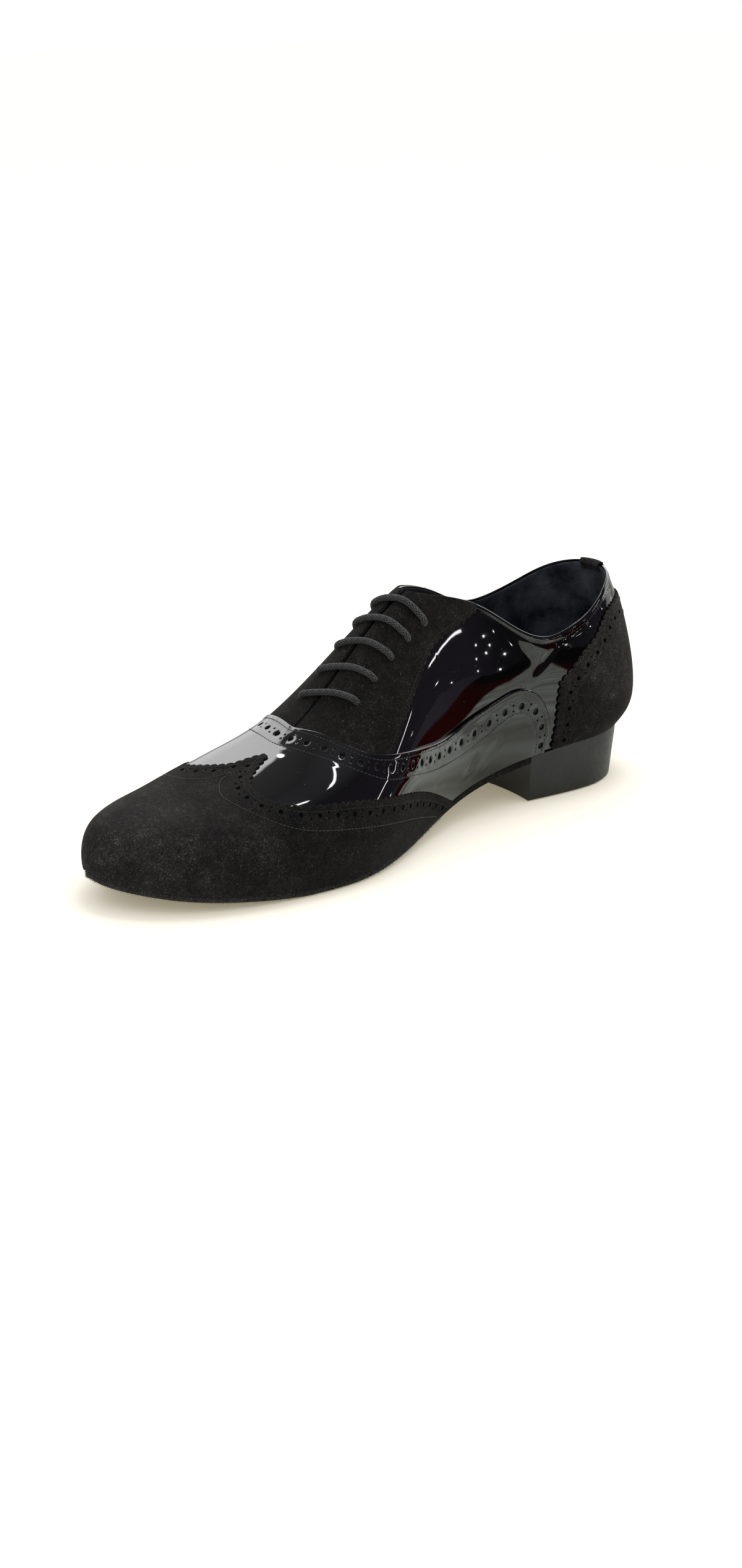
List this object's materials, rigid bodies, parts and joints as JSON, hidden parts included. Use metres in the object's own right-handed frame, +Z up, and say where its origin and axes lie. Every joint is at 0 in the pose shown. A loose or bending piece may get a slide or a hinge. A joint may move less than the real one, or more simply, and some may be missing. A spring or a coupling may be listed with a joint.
{
  "type": "dance shoe",
  "caption": "Men's ballroom dance oxford, a wing-tip of black suede and patent panels with a closed lacing, a thin suede sole and a low block heel.",
  "frame": {"origin": "on the ground under the middle of the shoe's box", "axes": "+Z up, -Y towards the toe, +X towards the wearer's left"},
  "size_m": [0.1002, 0.294, 0.1033],
  "materials": {
    "patent": "black patent, mirror gloss",
    "suede": "black suede nap",
    "sole_suede": "black suede split, napped tread",
    "heel_block": "satin black",
    "lining": "dark navy-black napped lining",
    "lace": "dark grey round braid"
  },
  "bodies": {
    "root": {"upper": "patent", "vamp": "patent", "toe_cap": "suede", "eyestay_left": "suede", "eyestay_right": "suede", "counter": "suede", "back_strip": "suede", "tongue": "suede", "outsole": "sole_suede", "heel": "heel_block", "insole": "lining", "lace_bar_1": "lace", "lace_bar_2": "lace", "lace_bar_3": "lace", "lace_bar_4": "lace", "lace_bar_5": "lace"}
  },
  "joints": []
}
